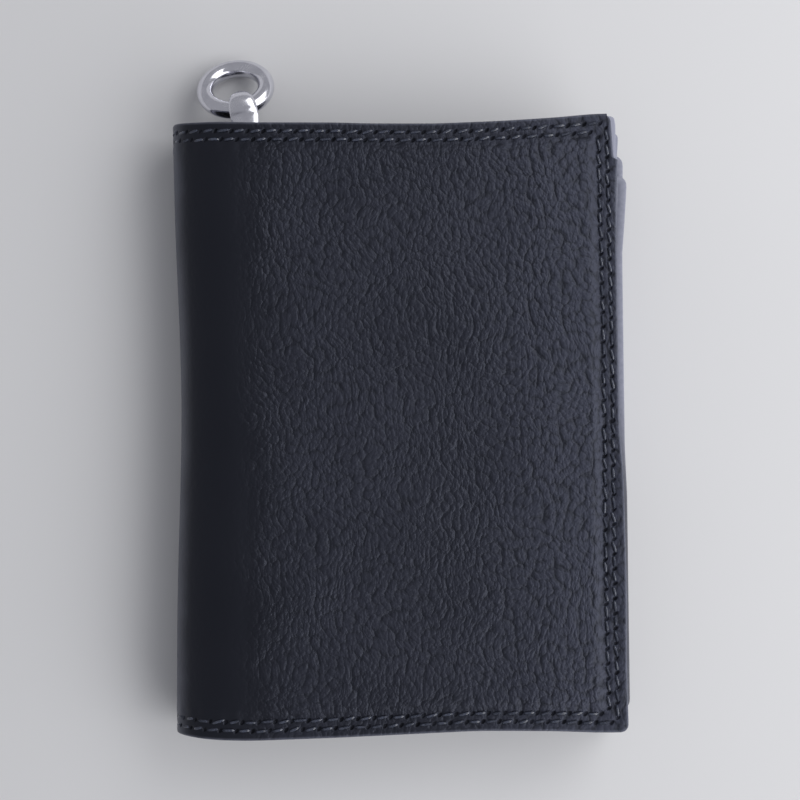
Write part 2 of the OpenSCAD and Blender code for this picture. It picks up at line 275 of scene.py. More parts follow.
def cover_leather_finish():
    """Pebbled leather: a bump of domes of two sizes, drawn out up and down, that fades to a smooth spine and is
    pressed flatter on the stitched margin, with needle slots along the seams. All lengths are millimetres."""
    f = Finish("cover_leather", Roughness=0.45, Specular_IOR_Level=0.5, Specular_Tint=(0.73, 0.78, 1.0, 1.0))
    hide = f.place("hide", (HIDE_SPAN, HIDE_SPAN, 0.0))
    along, up, _ = f.parts(hide)
    seam_way, edge_distance, _ = f.parts(f.place("seam", (SEAM_SPAN, SEAM_SPAN, 0.0)))
    from_fold = abs(along - SPINE_MIDDLE)
    patches = f.noise(hide, 0.08, 2.0)
    grained = (from_fold + (patches - 0.5) * 9.0).ease(18.5, 27.0)
    pressed = edge_distance.ease(3.6, 7.0)
    grain_force = (grained * 0.88 + 0.12) * (pressed * 0.33 + 0.67)

    # Domes stand round scattered points. A slow shake turns the grain this way and that, a quick one roughens it
    turned = f.shake(f.shake(hide, 0.05, 7.0), 0.5, 0.6)
    domes = []
    for stretch, density in ((0.76, 0.72), (0.8, 1.6)):
        away = f.cells(f.vector("MULTIPLY", turned, (1.0, stretch, 1.0)), density, "F1", "2D")
        domes.append(1 - away * away * 1.5)
    pebbles, small = domes
    drawn = f.noise(f.vector("MULTIPLY", turned, (1.0, 0.6, 1.0)), 1.0, 1.5)
    rolls = f.noise(hide, 0.3, 2.0)
    pores = f.noise(hide, 6.0, 2.0)
    slots = needle_slots(seam_way, edge_distance, up, f.noise(hide, 0.6, 1.0))
    relief = pebbles * 0.66 + small * 0.27 + drawn * 0.7
    relief = relief * grain_force + rolls * 0.6 * (grained * 0.8 + 0.2) + pores * 0.03 - slots * 1.8
    f.bump(relief, 0.215)

    # Painted shade darkens the creases and the smooth spine, painted light brightens the covers towards their opening
    # edges, and a painted highlight lies along the spine's outermost rim
    cloud = f.noise(hide, 0.022, 1.0)
    smooth = 1 - (from_fold + (patches - 0.5) * 7.0).ease(20.0, 37.0)
    tone = f.mix(patches * 0.5 + cloud.ease(0.32, 0.68) * 0.5, DARK_DYE, LIGHT_DYE)
    # Painted light: the covers grow lighter towards their opening edges, on the lamp's side
    tone = f.mix(from_fold.ease(63.0, 105.0) * 0.9, tone, PAINTED_LAMP_SIDE_LIGHT)
    # Painted shade: the creases between the domes are darker than the dome tops
    dome_tops = (pebbles * 0.7 + drawn * 0.6).ease(0.45, 1.0) * grained + (1 - grained) * 0.35
    toned = f.mix(dome_tops, PAINTED_CREASE_SHADE, tone)
    # Painted shade on the smooth spine, where the leather curves away from the lamp
    toned = f.mix(smooth * 0.8, toned, PAINTED_SPINE_SHADE)
    worn = edge_distance.ease(0.8, 0.05) * (f.noise(hide, 0.5) * 0.8 + 0.25)
    toned = f.mix(worn.lowest(1.0), toned, CUT_EDGE)
    # Painted highlight: a pale band along the spine's outermost rim
    spine_rim_highlight = 1 - (from_fold + (patches - 0.5) * 4.0).ease(0.5, 8.0)
    toned = f.mix(spine_rim_highlight, toned, PAINTED_SPINE_RIM_HIGHLIGHT)
    # Painted shade: the needle slots are coloured near black
    f.set("Base Color", f.mix(slots.lowest(0.9), toned, PAINTED_SLOT_SHADE))

    # Painted shade in the needle slots also takes their gloss away: black metal reflects nothing, so a share of it is
    # put in each slot
    f.set("Metallic", (slots * 0.6).lowest(0.6))
    worn_gloss = (cloud - 0.5) * 0.26 + (patches - 0.5) * 0.12 - smooth * 0.06
    f.set("Roughness", 0.47 + (pores - 0.5) * 0.08 + worn_gloss + slots * 0.4)
    return f.material


cover_leather = cover_leather_finish()
print("hide is", round(WHOLE_WAY, 1), "mm round")

# %% [markdown]
# ## Finishes inside the wallet
# The pockets are a thinner leather of the same dye with a finer grain, with painted shade in its creases.
# Their cut edges are burnished with edge paint, a pale lavender grey that is darker towards the foot. Each
# piece carries an attribute called edge, 1 at the cut and 0 on the faces, that tells the finish where the
# paint is.


# %% Inner leather, lining, board, thread and steel
INNER_CREASE_SHADE, INNER_DARK, INNER_LIGHT = (0.008, 0.009, 0.012, 1), (0.012, 0.013, 0.018, 1), (0.024, 0.026, 0.034, 1)
PAINT_DARK, PAINT_LIGHT, FOOT_PAINT_TONE = (0.17, 0.18, 0.235, 1), (0.29, 0.30, 0.375, 1), (0.0, 0.0, 0.0, 1)
CLOTH_DARK, CLOTH_LIGHT, CLOTH_EDGE = (0.007, 0.008, 0.011, 1), (0.03, 0.032, 0.042, 1), (0.33, 0.34, 0.42, 1)
BOARD_DARK, BOARD_LIGHT, BOARD_FLECK = (0.20, 0.165, 0.12, 1), (0.34, 0.29, 0.22, 1), (0.13, 0.11, 0.085, 1)
THREAD_DARK, THREAD_LIGHT = (0.006, 0.0065, 0.01, 1), (0.045, 0.05, 0.072, 1)
STEEL_DARK, STEEL_LIGHT = (0.60, 0.60, 0.66, 1), (0.80, 0.80, 0.85, 1)


def painted_edge(f, spot):
    """1 where the cut edge is painted: the edge attribute with an uneven border."""
    return (f.attribute("edge") + (f.noise(spot, 1.3) - 0.5) * 0.25).ease(0.3, 0.6)


def inner_leather_finish():
    """Small plates between creases, with pores, painted shade in the creases and paint along the cut edges."""
    f = Finish("inner_leather", Roughness=0.5, Specular_IOR_Level=0.45)
    spot = f.place()
    plates = f.cells(f.shake(spot, 0.9, 0.6), 1.5).ease(0.02, 0.2)
    pores = f.noise(spot, 6.0, 2.0)
    painted = painted_edge(f, spot)
    leather = f.mix(f.noise(spot, 0.06, 3.0), INNER_DARK, INNER_LIGHT)
    # Painted shade: the creases between the plates are darker
    leather = f.mix(plates * 0.7 + 0.3, INNER_CREASE_SHADE, leather)
    paint = f.mix(f.noise(spot, 0.9, 4.0), PAINT_DARK, PAINT_LIGHT)
    # The edge paint is darker towards the foot
    towards_top = f.parts(spot)[1].ease(-22.0, 14.0)
    paint = f.mix(towards_top, f.mix(0.3, FOOT_PAINT_TONE, paint), paint)
    f.set("Base Color", f.mix(painted, leather, paint))
    f.set("Roughness", 0.5 + (pores - 0.5) * 0.12 - painted * 0.12)
    f.bump((plates * 0.6 + pores * 0.2) * (1 - painted * 0.9), 0.07)
    return f.material


def lining_finish():
    """Ribbed lining cloth: weft ribs along one way, crossed by a finer warp."""
    f = Finish("lining_cloth", Roughness=0.8, Specular_IOR_Level=0.3, Sheen_Weight=0.25, Sheen_Roughness=0.5)
    spot = f.place()
    x, y, _ = f.parts(f.shake(spot, 0.4, 0.12))
    ribs = (y * 9.0).sine() * 0.5 + 0.5
    warp = (x * 14.0).sine() * 0.5 + 0.5
    slubs = f.noise(f.vector("MULTIPLY", spot, (0.15, 1.6, 1.0)), 1.0, 3.0)
    painted = painted_edge(f, spot)
    cloth = f.mix(ribs * 0.6 + warp * 0.25 + slubs * 0.2, CLOTH_DARK, CLOTH_LIGHT)
    f.set("Base Color", f.mix(painted, cloth, CLOTH_EDGE))
    f.bump((ribs * 0.6 + warp * ribs * 0.4 + slubs * 0.3) * (1 - painted), 0.08)
    return f.material


def board_finish():
    """Grey-brown fibre board, pressed from short fibres."""
    f = Finish("stiffener_board", Roughness=0.85, Specular_IOR_Level=0.2)
    spot = f.place()
    fibres = f.noise(f.vector("MULTIPLY", f.shake(spot, 0.3, 3.0), (0.5, 3.0, 1.0)), 1.2, 5.0, 0.7)
    flecks = f.noise(spot, 2.5, 2.0).ease(0.58, 0.68)
    f.set("Base Color", f.mix(flecks, f.mix(fibres, BOARD_DARK, BOARD_LIGHT), BOARD_FLECK))
    f.bump(fibres, 0.05)
    return f.material


def thread_finish():
    """Waxed black thread, laid up from strands that run slantwise round it: a sine of five turns along the
    stitch and one round it, twice over."""
    f = Finish(
        "waxed_thread", Roughness=0.36, Specular_IOR_Level=0.5, Specular_Tint=(0.68, 0.76, 1.0, 1.0),
        Coat_Roughness=0.12, Coat_IOR=1.7, Coat_Tint=(0.8, 0.86, 1.0, 1.0),
    )
    x, y, _ = f.parts(f.place("strand", (1.0, 1.0, 0.0)))
    strands = ((x * 5.0 + y) * (4 * math.pi)).sine() * 0.5 + 0.5
    wax = f.noise(f.place(), 2.2, 3.0)
    f.set("Base Color", f.mix(strands * 0.7 + wax * 0.3, THREAD_DARK, THREAD_LIGHT))
    f.set("Roughness", 0.2 + wax * 0.4)
    # The wax is rubbed off here and there, so only some stitches glint
    f.set("Coat Weight", f.noise(f.place(), 0.33, 1.0).ease(0.4, 0.58) * 0.9 + 0.1)
    f.bump(strands, 0.09)
    return f.material


def steel_finish(name, rough):
    """Polished steel with fine hair scratches and a faint cloud of handling marks."""
    f = Finish(name, Metallic=1.0, Roughness=rough)
    spot = f.place()
    cloud = f.noise(spot, 0.35, 4.0)
    brushed = f.vector("MULTIPLY", f.shake(spot, 0.2, 4.0), (6.0, 0.5, 2.0))
    hairs = abs(f.noise(brushed, 1.5, 2.0) - 0.5).ease(0.0, 0.03)
    f.set("Base Color", f.mix(cloud, STEEL_DARK, STEEL_LIGHT))
    f.set("Roughness", rough + cloud.ease(0.35, 0.75) * 0.14 + (1 - hairs) * 0.08)
    f.bump(cloud * 0.7 + hairs * 0.05, 0.012)
    return f.material


inner_leather = inner_leather_finish()
lining_cloth = lining_finish()
board = board_finish()
waxed_thread = thread_finish()
polished_steel = steel_finish("polished_steel", 0.1)
bail_steel = steel_finish("bail_steel", 0.15)
print("finishes", len(bpy.data.materials))

# %% [markdown]
# ## Surfaces as arrays
# Every new piece is a grid of points that numpy works out at once. A tube is a grid that goes round. A sheet
# with thickness is two grids, the outer and the inner face, joined along their four borders, so it is
# closed. One function puts the arrays into a mesh.


# %% Grids into meshes
def grid_cells(rows, columns, round_rows=False, round_columns=False):
    """Four corner numbers for each cell of a grid whose points are numbered row by row. Where it goes round, the
    last row or column joins the first."""
    i, j = np.meshgrid(np.arange(rows - (not round_rows)), np.arange(columns - (not round_columns)), indexing="ij")
    here, there = i * columns, (i + 1) % rows * columns
    k = (j + 1) % columns
    return np.stack([here + j, here + k, there + k, there + j], axis=-1).reshape(-1, 4)


def fan(loop, tip):
    """Triangles from a closed loop of point numbers to its tip."""
    return np.stack([loop, np.roll(loop, -1), np.full(len(loop), tip)], axis=1)


def make_piece(name, points, faces, material, uv=None, edge=None, flat_tail=0):
    """Puts points in millimetres and faces into a new object at the origin. uv is a dict of maps by point, and
    edge, also by point, is 1 at a painted cut edge and 0 on the faces.
    The last flat_tail faces, all of four corners, are a cut wall: flat, with sharp edges, so that it doesn't
    bend the light on the face beside it."""
    mesh = bpy.data.meshes.new(name)
    faces = [np.asarray(part) for part in (faces if isinstance(faces, list) else [faces])]
    sizes = np.concatenate([np.full(len(part), part.shape[1]) for part in faces])
    corners = np.concatenate([part.ravel() for part in faces])
    mesh.vertices.add(len(points))
    mesh.vertices.foreach_set("co", (np.asarray(points, float) * MM).astype(np.float32).ravel())
    mesh.loops.add(len(corners))
    mesh.loops.foreach_set("vertex_index", corners.astype(np.int32))
    mesh.polygons.add(len(sizes))
    mesh.polygons.foreach_set("loop_start", (np.cumsum(sizes) - sizes).astype(np.int32))
    mesh.polygons.foreach_set("use_smooth", np.arange(len(sizes)) < len(sizes) - flat_tail)
    for key, values in (uv or {}).items():
        layer = mesh.uv_layers.new(name=key)
        layer.data.foreach_set("uv", values[corners].astype(np.float32).ravel())
    if edge is not None:
        mesh.attributes.new("edge", "FLOAT", "POINT").data.foreach_set("value", edge.astype(np.float32))
    mesh.materials.append(material)
    mesh.update(calc_edges=True)
    if flat_tail:
        edge_of_corner = np.empty(len(corners), np.int32)
        mesh.loops.foreach_get("edge_index", edge_of_corner)
        sharp = np.zeros(len(mesh.edges), bool)
        sharp[edge_of_corner[-4 * flat_tail :]] = True
        mesh.attributes.new("sharp_edge", "BOOLEAN", "EDGE").data.foreach_set("value", sharp)
    mesh.validate()
    piece = bpy.data.objects.new(name, mesh)
    bpy.context.scene.collection.objects.link(piece)
    return piece


def full_turn(count):
    """Angles once round, without the last one, which is the first again."""
    return np.linspace(0, 2 * np.pi, count, endpoint=False)


def to_left(along):
    """Plane directions turned by a quarter to the left, which is inwards on an anticlockwise outline."""
    return np.stack([-along[:, 1], along[:, 0]], axis=1)


def unit(vectors):
    return vectors / np.linalg.norm(vectors, axis=1, keepdims=True)


def outward(points, faces):
    """Turns all faces over where the closed shape has a negative volume, summed over corner triangles."""
    a, b, c, d = (points[faces[:, k]] for k in range(4))
    volume = np.einsum("ij,ij->i", a, np.cross(b, c)) + np.einsum("ij,ij->i", a, np.cross(c, d))
    return faces if volume.sum() > 0 else faces[:, ::-1]


def closed_tube(name, rings, material, edge=None):
    """A piece from rings of points, an array along by around by three, of which the last joins the first."""
    points = rings.reshape(-1, 3)
    faces = outward(points, grid_cells(*rings.shape[:2], round_rows=True, round_columns=True))
    return make_piece(name, points, faces, material, edge=edge)


def shell_piece(name, outer, inner, material, maps=None, edge=None):
    """A closed shell of two grids of points, joined by a band round their borders, the cut wall. Maps and edge go
    by the outer points, and the inner ones have the same."""
    rows, columns, _ = outer.shape
    number = np.arange(rows * columns).reshape(rows, columns)
    loop = np.concatenate([number[0], number[1:, -1], number[-1, -2::-1], number[-2:0:-1, 0]])
    after = np.roll(loop, -1)
    band = np.stack([loop, loop + number.size, after + number.size, after], axis=1)
    face = grid_cells(rows, columns)
    points = np.concatenate([outer.reshape(-1, 3), inner.reshape(-1, 3)])
    faces = outward(points, np.concatenate([face, face[:, ::-1] + number.size, band]))
    maps = {key: np.tile(values.reshape(-1, 2), (2, 1)) for key, values in (maps or {}).items()}
    if edge is not None:
        edge = np.tile(edge.ravel(), 2)
    return make_piece(name, points, faces, material, maps, edge, flat_tail=len(band))


def declare(piece, body, node):
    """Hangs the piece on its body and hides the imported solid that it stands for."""
    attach(piece, body)
    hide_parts(node)


print("mesh helpers ready")

# %% [markdown]
# ## The wrapped hide
# One function gives the place of any spot on the hide. Across, it is flat over the front, a half ellipse
# round the spine and flat over the back. The fold line leans 0.4 degrees, so the front cover is turned by
# twice that. A used wallet isn't a ruler either: its long edges sag a little, and the spine is drawn in at
# the middle, and the same settling moves every soft layer.


# %% Place of a spot on the hide
def step_up(value, low, high):
    """0 below low, 1 above high, and 3t^2 - 2t^3 between."""
    t = np.clip((value - low) / (high - low), 0, 1)
    return t * t * (3 - 2 * t)


def hump(value, centre, width):
    """A bell of height 1."""
    return np.exp(-(((value - centre) / width) ** 2))


def worn_line(*spots):
    """A smooth line through (x, sag) spots: straight runs between them, rounded by a bell 3 mm wide."""
    x, sag = np.array(spots, float).T
    fine = np.arange(-70.0, 70.0, 0.5)
    bell = hump(np.arange(-9.0, 9.5, 0.5), 0, 3.0)
    rough = np.interp(np.arange(-79.0, 79.0, 0.5), x, sag)
    return fine, np.convolve(rough, bell / bell.sum(), mode="valid")[: len(fine)]


TOP_SAG = worn_line(
    (-54, 0.0), (-49, 1.05), (-38, 1.5), (-27, 1.57), (-15, 1.65), (-8, 1.88), (8, 1.97), (17, 1.65),
    (23, 1.45), (36, 0.7), (44, -0.1), (50, -0.25),
)
FOOT_SAG = worn_line(
    (-53, 2.1), (-47, 1.62), (-42, 1.3), (-34, 0.97), (-16, 1.05), (-2, 1.27), (8, 1.45), (17, 1.58),
    (26, 1.25), (35, 0.9), (44, 0.15), (50, 0.0),
)


def settle(x, y):
    """The sag of the top and foot edges, which fades towards the middle, and the spine's waist."""
    top, foot = np.interp(x, *TOP_SAG), np.interp(x, *FOOT_SAG)
    up = np.clip(y / HALF_H, 0, 1.02) ** 3
    down = np.clip(-y / HALF_H, 0, 1.02) ** 3
    waist = 1.55 * hump(y, 6, 38) * np.clip((-18 - x) / 34, 0, 1) ** 2
    return x + waist, y - top * up + foot * down


def settled(x, y, z):
    """Points from three coordinates, moved as the used wallet has settled."""
    return np.stack([*settle(x, y), z], axis=-1)


def hide_profile(way):
    """Distance from the fold line, height and outward normal of the outer face, by the way along it."""
    angle = np.interp(way - FRONT_WAY, SPINE_WAY, SPINE_ANGLES)
    u = CURVE_START + SPINE_DEEP * np.cos(angle)
    u = u + np.maximum(FRONT_WAY - way, 0) + np.maximum(way - BACK_WAY, 0)
    z = WALLET_T / 2 * (1 + np.sin(angle))
    nu, nz = np.cos(angle) / SPINE_DEEP, np.sin(angle) / (WALLET_T / 2)
    size = np.hypot(nu, nz)
    return u, z, nu / size, nz / size


def hide_place(way, y, depth):
    """World place of a spot: way along the hide, y up it, and depth below its outer face."""
    way, y, depth = np.broadcast_arrays(way, y, depth)
    u, z, nu, nz = hide_profile(way)
    u, z = u - depth * nu, z - depth * nz
    side = np.where(way < SPINE_MIDDLE, 1.0, -1.0)
    reach = np.where(side > 0, FRONT_REACH, BACK_REACH) - CURVE_START
    fan = np.clip(1 - (u - CURVE_START) / reach, 0, 1)
    sin, cos, tan = math.sin(SKEW), math.cos(SKEW), math.tan(SKEW)
    lean = side * tan * y * fan
    fold_u = cos * (u + lean) - side * sin * y
    fold_y = side * sin * np.maximum(u, 0) + (sin * tan * fan + cos) * y
    x = FOLD_X + cos * fold_u - sin * fold_y
    return settled(x, sin * fold_u + cos * fold_y, z)


print("spine outermost", hide_place(SPINE_MIDDLE, 0.0, 0.0).round(2))

# %% [markdown]
# ## Relief of the covers
# Under the leather lies a pad that stops at the stitching. So the face rises from the stitched margin, first
# in a short step and then slowly, and the thread draws a shallow ditch along each row. Cut edges are
# rounded. The opening edge of the front isn't straight: its top corner is cut back by a millimetre, and
# the seam runs closer to the edge there.


# %% Relief and edges
LEATHER_T, DEEPEST, RIM_LIFT = 1.8, 1.77, 0.02
CORNER_R = 1.9
NEAR_CUT = 0.04
# Distance from the edge and extra depth of the rounded cut edge, from underneath to the face
EDGE_CURVE = np.array([
    (0.45, 1.20), (0.12, 1.12), (0.0, 0.86), (0.0, 0.55), (0.03, 0.32), (0.12, 0.13), (0.3, 0.03), (0.55, 0.0),
])


def steps_between(low, high, size):
    return np.linspace(low, high, max(2, int(round((high - low) / size)) + 1))


def cut_steps(low, high, size):
    """Steps with one more close to each end, so the shading at a cut is that of the whole surface."""
    steps = steps_between(low, high, size)
    return np.concatenate([steps[:1], [low + NEAR_CUT], steps[1:-1], [high - NEAR_CUT], steps[-1:]])


def edge_then(*inner):
    """Distances and extra depths: the rounded edge first, then the face at the given distances."""
    inner = np.concatenate(inner)
    return np.concatenate([EDGE_CURVE[:, 0], inner]), np.concatenate([EDGE_CURVE[:, 1], np.zeros(len(inner))])


def cover_columns(reach, fine, start, size, rest):
    """From the opening edge to the fold: fine steps over the seam, then even ones, and one close to the cut."""
    last = [reach - NEAR_CUT, reach]
    return edge_then(np.arange(0.9, 8.0, fine), np.arange(start, reach - rest, size), last)


def cover_rows(size):
    """From the top edge to the foot: distance from the nearer edge, extra depth, and +1 or -1."""
    d, q = edge_then(np.arange(0.9, 8.0, 0.42), np.arange(8.4, HALF_H - size / 2, size))
    dy = np.concatenate([d, [HALF_H], d[::-1]])
    depth = np.concatenate([q, [0.0], q[::-1]])
    return dy, depth, np.repeat([1.0, -1.0], [len(d) + 1, len(d)])


# Waves of the worn face: radians to the millimetre across and up, and where each begins
WAVES = [(0.11, 0.05, 0.4), (-0.07, 0.13, 1.9), (0.19, -0.09, 3.1), (0.05, 0.21, 5.2), (0.31, 0.12, 2.2)]


def wander(way, y):
    """Low swells of the worn face: a few slow waves that cross at odd angles, between -1 and 1."""
    return sum(np.sin(across * way + up * y + phase) for across, up, phase in WAVES) / len(WAVES)


def spine_share(way):
    """0 round the outermost of the spine, 1 on the covers."""
    return step_up(np.abs(way - SPINE_MIDDLE), 9, 20)


def relief(way, y, d, stitches):
    """Height above the outer face, by distance from the edge: margin, pad, swells and ditches. The front also
    rolls down slowly to its opening edge, and the back lies flat on the table. Round the spine there is no pad,
    so margin and face lie level. The way along the edge is counted in stitches."""
    face = step_up(d, 4.7, 7.4)
    padded = spine_share(way)
    front = way < SPINE_MIDDLE
    roll = np.where(front, 0.44 * step_up(way, 5.5, 18), 0.13)
    height = -0.04 + padded * (-0.72 + 0.56 * face + roll - 0.06 * step_up(d, 9, 16))
    height += (0.03 + 0.16 * front * padded) * wander(way, y) * step_up(d, 7, 20)
    for row, shift in ROWS:
        pucker = 0.6 + 0.4 * np.cos(2 * np.pi * (stitches + shift))
        height -= 0.19 * hump(d, row, 0.55) * pucker * (0.4 + 0.6 * padded)
    height += 0.05 * np.cos(2 * np.pi * stitches) * hump(d, 6.2, 1.2)
    return height


def seam_place(dx, dy):
    """Distance from the nearest edge, and the way along that edge in stitches. The sides are sewn closer."""
    return np.minimum(dx, dy), np.where(dx < dy, dy / SIDE_PITCH, dx / PITCH)


def ease_corner(dx, dy, radius):
    """Pulls the square corner onto a quarter circle: each point keeps its larger distance as its radius."""
    px, py = np.clip(1 - dx / radius, 0, None), np.clip(1 - dy / radius, 0, None)
    inside = (px > 0) & (py > 0)
    scale = np.where(inside, np.maximum(px, py) / np.maximum(np.hypot(px, py), 1e-9), 1.0)
    return np.where(inside, radius * (1 - px * scale), dx), np.where(inside, radius * (1 - py * scale), dy)


def front_edge_shift(dx, y):
    """How far the front's opening edge and its seam stand out, by the distance dx from that edge: the corner
    is cut back above y = 61, and below the middle the edge swells."""
    below = 1 - step_up(y, 60.6, 61.3)
    edge = 0.27 * step_up(y, -20, 40) + 1.0 * np.exp(-np.maximum(60.9 - y, 0) / 14) * below
    edge -= 0.05 * np.maximum(y - 61.3, 0) + 0.35 * np.maximum(y - 70.3, 0)
    edge += 0.68 * step_up(-y, 0, 15) * (1 - 0.65 * step_up(-y, 38, 58))
    seam = 0.95 * step_up(y, -50, 30)
    blend = step_up(dx, 0.6, 2.2)
    return (edge * (1 - blend) + seam * blend) * (1 - step_up(dx, 5, 22))


def hide_grid(ways, way_edge):
    """Way, y and extra depth of a patch's points, with their distance from the edge and their seam place.
    way_edge holds each column's extra depth."""
    dy_row, q_row, sign = FINE_ROWS
    way, dy = np.meshgrid(ways, dy_row)
    q = np.maximum(*np.meshgrid(way_edge, q_row))
    dx = np.minimum(way, WHOLE_WAY - way)
    d, stitches = seam_place(dx, dy)
    dx2, dy2 = ease_corner(dx, dy, CORNER_R)
    y = sign[:, None] * (HALF_H - dy2)
    way = np.where(way < SPINE_MIDDLE, dx2 - front_edge_shift(dx, y), WHOLE_WAY - dx2)
    return way, y, q, d, stitches


def hide_piece(name, ways, way_edge):
    """A patch of the hide as a closed shell: the worked outer face, and a plain inner face under it. The rim that
    turns under stays a hundredth of a millimetre short of the inner face."""
    way, y, q, d, stitches = hide_grid(ways, way_edge)
    outer = hide_place(way, y, np.minimum(q - relief(way, y, d, stitches), DEEPEST))
    inner = hide_place(way, y, LEATHER_T - RIM_LIFT * (q > 1.0))
    hide = np.stack([way / HIDE_SPAN, (y + HIDE_SPAN / 2) / HIDE_SPAN], axis=-1)
    seam = np.stack([stitches / SEAM_SPAN, d / SEAM_SPAN], axis=-1)
    return shell_piece(name, outer, inner, cover_leather, {"hide": hide, "seam": seam})


FINE_ROWS = cover_rows(0.62)
front_d, front_q = cover_columns(FRONT_WAY, 0.42, 8.4, 0.62, 0.3)
back_d, back_q = cover_columns(BACK_REACH - CURVE_START, 0.5, 8.5, 0.85, 0.4)
front_face = hide_piece("front_cover_leather", front_d, front_q)
back_face = hide_piece("back_cover_leather", WHOLE_WAY - back_d[::-1], back_q[::-1])
for piece, body in ((front_face, "front"), (back_face, "back")):
    declare(piece, body, f"{body}_cover")
    print(piece.name, len(piece.data.polygons), "faces")

# %% [markdown]
# ## Spine leather
# The imported spine turns at four folds with three stiff sections between. Real leather bends all the way
# round. So the rounded spine is cut at the middle of each section into four strips. Each strip lies over one
# fold, and neighbours meet at the middle of a section.

# %% Spine strips
MID_CUTS = FRONT_WAY + np.interp([math.radians(140.7), math.pi, math.radians(219.3)], SPINE_ANGLES, SPINE_WAY)
SPINE_CUTS = np.array([FRONT_WAY, *MID_CUTS, BACK_WAY])
SPINE_BODIES = ["front", "spine_3", "spine_2", "spine_1", "back"]


def fold_point(u, z):
    """A point of the fold's own frame, in metres, at half height."""
    return ((FOLD_X + u * math.cos(SKEW)) * MM, u * math.sin(SKEW) * MM, z * MM)


# Points beside each fold: on the covers close to the fold, on the sections at their middle
BLEND_POINTS = [fold_point(u, z) for u, z in ((3.2, 21.0), (-3.5, 17.5), (-7.0, 10.5), (-3.5, 3.5), (3.2, 0.0))]


def over_fold(piece, number, node):
    """Bakes the place of a strip over fold number 0 to 3, counted from the front, into its points. Strips 1 to 3
    also stand for the packed spine sections 3 to 1, which are hidden."""
    body_a, body_b = SPINE_BODIES[number : number + 2]
    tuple(BLEND_POINTS[number])
    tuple(BLEND_POINTS[number + 1])
    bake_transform(piece)
    if number:
        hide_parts(f"{node}_{4 - number}")


for n in range(4):
    ways = cut_steps(SPINE_CUTS[n], SPINE_CUTS[n + 1], 0.5)
    strip = hide_piece(f"spine_leather_strip_{n + 1}", ways, np.zeros(len(ways)))
    over_fold(strip, n, "spine_leather")
    print(strip.name, len(strip.data.polygons), "faces")

# %% [markdown]
# ## Stitching
# Two rows of black thread hold pad, leather and lining together. A machine stitch lies a little slantwise
# between its holes. One stitch is a small closed pod, bent down at both ends. It is copied along the rows
# with the hide's own directions, so it follows the corners and the spine.


# %% Stitches
def stitch_pod(around=7, along=9):
    """A pod along X from -1 to 1: round in section, as wide as a power of the sine, with its ends drawn down.
    Gives its points, how far each is drawn down, its quads and triangles, and the map of its strands."""
    t = np.linspace(-1, 1, along)
    a = full_turn(around)
    width = np.clip(1 - np.abs(t) ** 3.2, 0.0, 1) ** 0.5 * 0.94 + 0.06
    x = np.repeat(t, around)
    y, z = np.outer(width, np.cos(a)).ravel(), np.outer(width, np.sin(a)).ravel()
    points = np.concatenate([np.stack([x, y, z], axis=1), [[-1.0, 0, 0], [1.0, 0, 0]]])
    drop = np.concatenate([np.repeat(t**4, around), [1.0, 1.0]])
    strand = np.stack([x * 0.5 + 0.5, np.tile(a / (2 * np.pi), along)], axis=1)
    strand = np.concatenate([strand, [[0.0, 0.5], [1.0, 0.5]]])
    loop, tip = np.arange(around), around * along
    quads = grid_cells(along, around, round_columns=True)[:, ::-1]
    return points, drop, quads, np.concatenate([fan(loop, tip), fan(tip - 1 - loop, tip + 1)]), strand


def seam_spots(way, y, along_way):
    """Rows of way, y and the seam's direction: along the way where along_way is 1, up y where it is 0."""
    return np.stack(np.broadcast_arrays(way, y, along_way, 1.0 - along_way), axis=1)


def row_spots(row, shift):
    """Where the stitches of one row sit: along top and foot, and down the opening edges, of front and back. The
    first is 1.2 mm or more past the row's corner, and the last 0.4 of a pitch or more before the middle."""
    dx = (np.arange(int(WHOLE_WAY / 2 / PITCH) + 1) + 0.5 - shift) * PITCH
    dx = dx[(dx > row + 1.2) & (dx < WHOLE_WAY / 2 - 0.4 * PITCH)]
    dy = (np.arange(int(HALF_H / SIDE_PITCH) + 1) + 0.5 - shift) * SIDE_PITCH
    dy = dy[(dy > row + 1.2) & (dy < HALF_H - 0.4 * SIDE_PITCH)]
    spots = []
    for way, edge in ((dx, row), (WHOLE_WAY - dx, WHOLE_WAY - row)):
        spots += [seam_spots(way, sign * (HALF_H - row), 1.0) for sign in (1, -1)]
        spots += [seam_spots(edge, sign * (HALF_H - dy), 0.0) for sign in (1, -1)]
    return np.concatenate(spots)


def seam_surface(way, y):
    """The outer face at a spot of the seam, with its relief and the front's edge shift."""
    dx = np.minimum(way, WHOLE_WAY - way)
    dy = HALF_H - np.abs(y)
    d, stitches = seam_place(dx, dy)
    shifted = np.where(way < SPINE_MIDDLE, way - front_edge_shift(dx, y), way)
    return hide_place(shifted, y, -relief(way, y, d, stitches))


STITCH_HALF_LENGTH, STITCH_HALF_WIDTH, STITCH_HALF_HEIGHT = 1.45, 0.36, 0.3
STITCH_LIFT, STITCH_DROP = 0.14, 0.42
PROBE = 0.3


